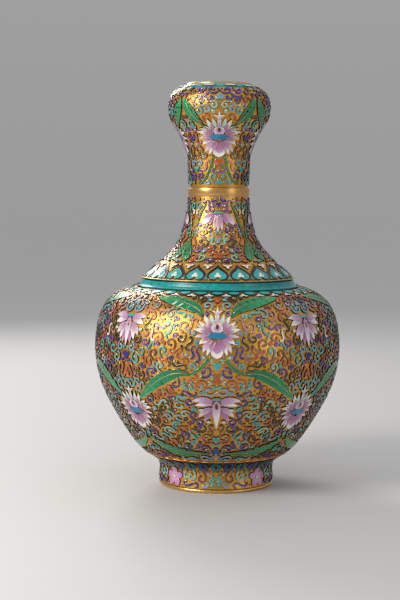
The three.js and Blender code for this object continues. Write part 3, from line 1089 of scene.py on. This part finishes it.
# kinds, range of lengths, half width share, tries, least share of the stroke that must run beside something
scrollPasses = [
    (("wave", "swan", "hook"), (17.0, 22.0), 1.0, 700, 0.16),
    (("wave", "clasp", "swan", "hook"), (13.0, 17.0), 1.0, 2400, 0.16),
    (("clasp", "hook", "swan"), (9.0, 13.0), 1.0, 3000, 0.12),
    (("hook", "arc"), (6.0, 9.0), 0.95, 2600, 0.06),
    (("arc",), (3.6, 5.4), 0.9, 1200, 0.0),
]


def curlShares(stations):
    # places along a stroke from 0 to 1, closer together near its ends
    share = np.linspace(0, 1, stations)
    return share - 0.04 * np.sin(fullTurn * share)


def curlPath(kind, shares):
    # direction along a stroke: hook turns as t^1.7, clasp turns most at both ends, wave turns as a half sine
    # and back, swan adds a late t^2.6 to a half sine, arc turns evenly; the path is the running sum of
    # (cos, sin) of that direction
    t = np.linspace(0, 1, 97)
    bend = {"hook": 5.9 * t**1.7,
            "clasp": 6.2 * (t + 0.75 * np.sin(fullTurn * t) / fullTurn),
            "wave": 3.7 * np.sin(math.pi * t) ** 0.85,
            "swan": 2.0 * np.sin(math.pi * t) + 5.0 * t**2.6,
            "arc": 3.2 * t}[kind]
    line = np.cumsum(np.c_[np.cos(bend), np.sin(bend)] / 96, axis=0)
    line -= line[0]
    return np.c_[np.interp(shares, t, line[:, 0]), np.interp(shares, t, line[:, 1])]


def swungPath(line, spin, flip):
    # the line with its across times flip (1 or -1), turned by spin; spin and flip may be columns of many
    across, up = line[:, 0] * flip, line[:, 1]
    sin, cos = np.sin(spin), np.cos(spin)
    return np.stack([across * cos - up * sin, across * sin + up * cos], axis=-1)


def strokeWidths(shares, half, length):
    # a thinner tail at the start, which lies in the stroke it grows from, and a ball at the curled end
    cap = min(0.45, 1.2 * half / length)
    rounded = np.sqrt(np.clip(1 - (1 - np.minimum((1 - shares) / cap, 1)) ** 2, 0.06, 1))
    tail = 0.6 + 0.4 * np.minimum(shares * 2.2, 1)
    ball = 1 + 0.25 * np.exp(-(((1 - shares) * length - 1.3) / 1.3) ** 2)
    return half * rounded * tail * ball


def discPoints(radius, room, row):
    # a grid of points inside a circle, closer together than the room's own grid is there
    wide, tall = 0.85 * room["cellWide"][max(0, row - 8):row + 9].min(), 0.9 * room["pitch"]
    across, up = np.meshgrid(np.arange(-radius, radius + wide, wide), np.arange(-radius, radius + tall, tall))
    kept = across**2 + up**2 <= radius**2
    return np.c_[across[kept], up[kept]]


def roomGrid(zone, low, high, pitch):
    # what is taken, over half of a quarter turn: rows climb, columns turn
    columns = int(math.ceil(zone["radius"].max() * eighthTurn / pitch))
    rows = int(math.ceil((high - low) / pitch))
    level = low + (np.arange(rows) + 0.5) * pitch
    return {"taken": np.zeros((rows, columns), bool), "low": low, "pitch": pitch,
            "turnStep": eighthTurn / columns, "cellWide": radiusAt(zone, level) * eighthTurn / columns}


def gridPlaces(room, zone, turn, climb, offsets):
    # rows and columns of the room at these offsets, and which of them lie inside it
    level = climb + offsets[..., 1]
    angle = turn + offsets[..., 0] / radiusAt(zone, level)
    column = np.floor(angle / room["turnStep"]).astype(int)
    row = np.floor((level - room["low"]) / room["pitch"]).astype(int)
    rows, columns = room["taken"].shape
    inside = (column >= 0) & (column < columns) & (row >= 0) & (row < rows)
    return np.clip(row, 0, rows - 1), np.clip(column, 0, columns - 1), inside


def markPlaces(grid, room, zone, spot, centres, radius):
    # sets every place of the grid that lies within radius of the centres, which are offsets from a start spot
    row, turn, climb = spot
    offsets = (centres[:, None] + discPoints(radius, room, row)[None]).reshape(-1, 2)
    rows, columns, inside = gridPlaces(room, zone, turn, climb, offsets)
    grid[rows[inside], columns[inside]] = True


def drawnSpot(places, room, rng):
    # one of the free places, as its row, turn and climb
    row, column = divmod(int(places[rng.integers(len(places))]), room["taken"].shape[1])
    return row, (column + 0.5) * room["turnStep"], room["low"] + (row + 0.5) * room["pitch"]


def blockPoints(room, zone, points):
    # marks the places of finished cells as taken: the turn is folded into half of a quarter turn
    angle = np.arctan2(points[:, 0], -points[:, 1])
    folded = np.abs((angle + eighthTurn) % quarterTurn - eighthTurn)
    row = np.floor((climbAt(zone, points[:, 2]) - room["low"]) / room["pitch"]).astype(int)
    column = np.floor(folded / room["turnStep"]).astype(int)
    rows, columns = room["taken"].shape
    good = (row >= 0) & (row < rows) & (column < columns)
    room["taken"][row[good], column[good]] = True


def facePoints(piece, shares=9):
    # points spread over every triangle of a piece
    mesh = piece.data
    mesh.calc_loop_triangles()
    co = np.empty(len(mesh.vertices) * 3, np.float32)
    mesh.vertices.foreach_get("co", co)
    co = co.reshape(-1, 3).astype(float) / mm
    corner = np.empty(len(mesh.loop_triangles) * 3, np.int32)
    mesh.loop_triangles.foreach_get("vertices", corner)
    a, b, c = (co[corner.reshape(-1, 3)[:, k]] for k in range(3))
    return np.concatenate([a + ((b - a) * i + (c - a) * j) / shares
                           for i in range(shares + 1) for j in range(shares + 1 - i)])


def widened(room, reach):
    # places within reach of anything taken, or of the edge of the room
    taken, pitch = room["taken"], room["pitch"]
    rows, columns = taken.shape
    total = np.pad(np.cumsum(taken, axis=1), ((0, 0), (1, 0)))
    here, row = np.arange(columns), np.arange(rows)
    near = np.zeros_like(taken)
    for down in range(-int(reach / pitch), int(reach / pitch) + 1):
        span = math.sqrt(reach**2 - (down * pitch) ** 2) / room["cellWide"]
        span = np.floor(span + 0.5).astype(int)[:, None]
        source = np.clip(row + down, 0, rows - 1)[:, None]
        left, right = np.clip(here - span, 0, columns), np.clip(here + span + 1, 0, columns)
        near |= total[source, right] > total[source, left]
    side = (here + 0.5) * room["cellWide"][:, None]
    near |= (side < reach) | (side[:, ::-1] < reach)
    near |= (np.minimum(row, rows - 1 - row) * pitch < reach)[:, None]
    return near


def plantScrolls(zone, room, size, rng):
    # a stroke starts beside something already there; of all the ways it can swing round its start, the one
    # that runs beside its neighbours for the longest way stays
    plan = scrollPlan
    spin = np.tile(np.arange(plan["turnsTried"]) * fullTurn / plan["turnsTried"], 2)[:, None]
    flip = np.repeat([1.0, -1.0], plan["turnsTried"])[:, None]
    tried, kept = curlShares(plan["pointsTried"]), curlShares(plan["stations"])
    placed = []
    for kinds, lengths, share, tries, contact in scrollPasses:
        half = plan["half"] * share * size
        reach = half + cellPlan["edge"]
        clear = reach + plan["gap"]
        maps = [(widened(room, far), far) for far in (clear, clear + plan["beside"], plan["startFrom"])]
        (near, _), (rim, _), (snug, _) = maps
        for attempt in range(tries):
            if attempt % 20 == 0:
                starts = np.flatnonzero(near & ~snug & widened(room, plan["startTo"]))
                if len(starts) == 0:
                    break
            kind = kinds[rng.integers(len(kinds))]
            length = rng.uniform(*lengths) * size
            spot = drawnSpot(starts, room, rng)
            _, turn, climb = spot
            swung = swungPath(curlPath(kind, tried) * length, spin, flip)
            rows, columns, inside = gridPlaces(room, zone, turn, climb, swung)
            free = ~near[rows, columns] & inside
            lead = round(plan["lead"] * (plan["pointsTried"] - 1) / length)
            free[:, :lead] = (~snug[rows, columns] & inside)[:, :lead]
            touch = np.where(free.all(axis=1), rim[rows, columns].mean(axis=1), -1)
            best = int(np.argmax(touch))
            if touch[best] < contact:
                continue
            markPlaces(room["taken"], room, zone, spot, swung[best], reach)
            for grid, far in maps:
                markPlaces(grid, room, zone, spot, swung[best], reach + far)
            path = curlPath(kind, kept) * length
            path[0, 0] -= plan["join"]
            widths = strokeWidths(kept, half, length)
            placed.append((turn, climb, swungPath(path, spin[best], flip[best]), widths))
    return placed


def plantDots(zone, room, rng):
    # round dots wherever there is still room for one
    plan = scrollPlan
    radius = plan["dotRoom"] + cellPlan["edge"]
    full = widened(room, radius + plan["dotClear"])
    dots = []
    while len(dots) < plan["dotLimit"] and not full.all():
        spot = drawnSpot(np.flatnonzero(~full), room, rng)
        for grid, far in ((full, 2 * radius + plan["dotApart"]), (room["taken"], radius)):
            markPlaces(grid, room, zone, spot, np.zeros((1, 2)), far)
        dots.append(spot[1:])
    return np.array(dots).reshape(-1, 2)


def nearestColour(spots, zone, seeds):
    # each stroke takes the colour of the nearest seed
    centres = np.array([seed[:2] for seed in seeds])
    radius = radiusAt(zone, spots[:, 1])[:, None]
    across = (spots[:, None, 0] - centres[None, :, 0]) * radius
    apart = np.hypot(across, spots[:, None, 1] - centres[None, :, 1])
    return np.array([seeds[k][2] for k in apart.argmin(axis=1)])


def colourSeeds(zone, low, high, spacing, rng):
    # scattered seeds a set spacing apart, their colours drawn by weight and seldom like the nearest ones
    names = list(scrollColours)
    weights = np.array([scrollColours[name] for name in names])
    seeds = []
    for attempt in range(3000):
        turn, climb = rng.uniform(0, eighthTurn), rng.uniform(low, high)
        radius = float(radiusAt(zone, climb))
        gaps = [math.hypot((turn - seed[0]) * radius, climb - seed[1]) for seed in seeds]
        if gaps and min(gaps) < spacing:
            continue
        share = weights.copy()
        for near in np.argsort(gaps)[:4] if gaps else []:
            share[names.index(seeds[near][2])] *= 0.1
        seeds.append((turn, climb, names[rng.choice(len(names), p=share / share.sum())]))
    return seeds


def makeStrokes(name, zone, placed, colours):
    # one piece for each colour, with every quarter turn's strokes and their mirror images
    turns, climbs, paths, widths = placed
    for colour in sorted(set(colours)):
        chosen = colours == colour
        parts = [cellPart(zone, turn, climbs[chosen], paths[chosen] * (side, 1), widths[chosen])
                 for turn, side in mirroredTurns(turns[chosen])]
        makePiece("%s_scrolls_%s" % (name, colour), parts, finishesOf(colour), "scroll_enamel")


def makeTips(name, zone, placed, rng):
    # pale knobs on some of the curled ends
    turns, climbs, paths, _ = placed
    tips = rng.uniform(size=len(turns)) < scrollPlan["tipShare"]
    tips[0] = True
    ends = paths[tips, -1] * 0.85 + paths[tips, -2] * 0.15
    level = climbs[tips] + ends[:, 1]
    knob = ovalOutline(scrollPlan["tipSize"], scrollPlan["tipSize"], 8)
    aside = ends[:, 0] / radiusAt(zone, level)
    parts = [patchPart(zone, turn + side * aside, level, knob, lift=scrollPlan["tipLift"])
             for turn, side in mirroredTurns(turns[tips])]
    makePiece(name + "_tips", parts, finishesOf("cream"), "scroll_enamel")


def makeDots(name, zone, dots):
    # low round cells, in five colours by turns
    parts, height = [], scrollPlan["dotHeight"]
    spot = ovalOutline(scrollPlan["dotSize"], scrollPlan["dotSize"], 8)
    for number in range(min(len(dotColours), len(dots))):
        some = dots[number::len(dotColours)]
        parts += [patchPart(zone, turn, some[:, 1], spot, height=height, fill=firstFill + number)
                  for turn, side in mirroredTurns(some[:, 0])]
    makePiece(name + "_dots", parts, finishesOf(*dotColours), "scroll_enamel")


def makeScrolls():
    rng = np.random.default_rng(scrollPlan["seed"])
    finished = [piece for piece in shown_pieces() if piece.name.endswith(("_1_cells", "_1_blade", "_stems"))]
    clouds = [facePoints(piece) for piece in finished]
    for name, low, fromEnd, spacing, size in scrollRows:
        zone = zones[name]
        high = zone["length"] + fromEnd
        room = roomGrid(zone, low, high, scrollPlan["pitch"])
        for cloud in clouds:
            if ((cloud[:, 2] > zone["height"][0] - 1) & (cloud[:, 2] < zone["height"][-1] + 1)).mean() > 0.5:
                blockPoints(room, zone, cloud)
        placed = [np.array(column) for column in zip(*plantScrolls(zone, room, size, rng))]
        turns, climbs, paths, _ = placed
        seeds = colourSeeds(zone, low, high, spacing, rng)
        across, up = (paths[..., k].mean(axis=1) for k in (0, 1))
        spots = np.c_[turns + across / radiusAt(zone, climbs), climbs + up]
        makeStrokes(name, zone, placed, nearestColour(spots, zone, seeds))
        makeTips(name, zone, placed, rng)
        dots = plantDots(zone, room, rng)
        makeDots(name, zone, dots)
        print("scrolls on the", name, len(turns) * 8, "dots", len(dots) * 8,
              "taken %.2f" % room["taken"].mean())


makeScrolls()


# ---- floor ----

def makeFloor():
    half = studioPlan["floorSize"] * mm / 2
    mesh = bpy.data.meshes.new("floor")
    corners = [(-half, -half, 0), (half, -half, 0), (half, half, 0), (-half, half, 0)]
    mesh.from_pydata(corners, [], [(0, 1, 2, 3)])
    floor = bpy.data.objects.new("floor", mesh)
    bpy.context.scene.collection.objects.link(floor)
    material = bpy.data.materials.new("paleFloor")
    material.use_nodes = True
    shader = material.node_tree.nodes["Principled BSDF"]
    shader.inputs["Base Color"].default_value = (*studioPlan["floorColour"], 1)
    shader.inputs["Roughness"].default_value = studioPlan["floorRoughness"]
    mesh.materials.append(material)


makeFloor()
